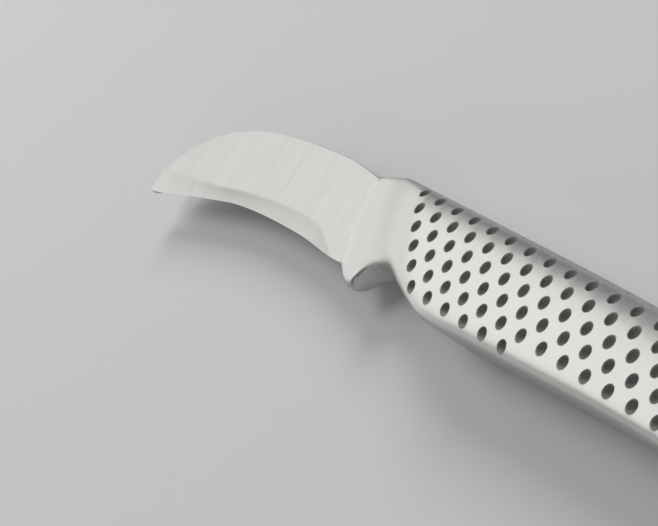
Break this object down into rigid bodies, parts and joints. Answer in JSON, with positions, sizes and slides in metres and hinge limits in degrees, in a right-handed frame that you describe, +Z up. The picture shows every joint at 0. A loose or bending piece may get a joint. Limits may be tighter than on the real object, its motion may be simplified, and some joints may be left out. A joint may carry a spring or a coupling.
{
  "type": "tourne knife",
  "caption": "All-steel tourne (curved peeling) knife with a hooked blade, a finger guard and a hollow handle with a grid of dark round dimples for grip.",
  "frame": {"origin": "middle of the underside of the knife as it lies on its right side", "axes": "+X from the tip to the butt, +Y from the edge to the spine, +Z up through the thickness to the left side"},
  "size_m": [0.1676, 0.0234, 0.012],
  "materials": {
    "blade_steel": "cross-ground satin",
    "bolster_steel": "satin",
    "shell_steel": "satin with darkened dimples",
    "sand": "loose grains"
  },
  "bodies": {
    "root": {"blade": "blade_steel", "bolster": "bolster_steel", "handle_shell_left": "shell_steel", "handle_shell_right": "shell_steel", "sand_fill": "sand"}
  },
  "joints": []
}
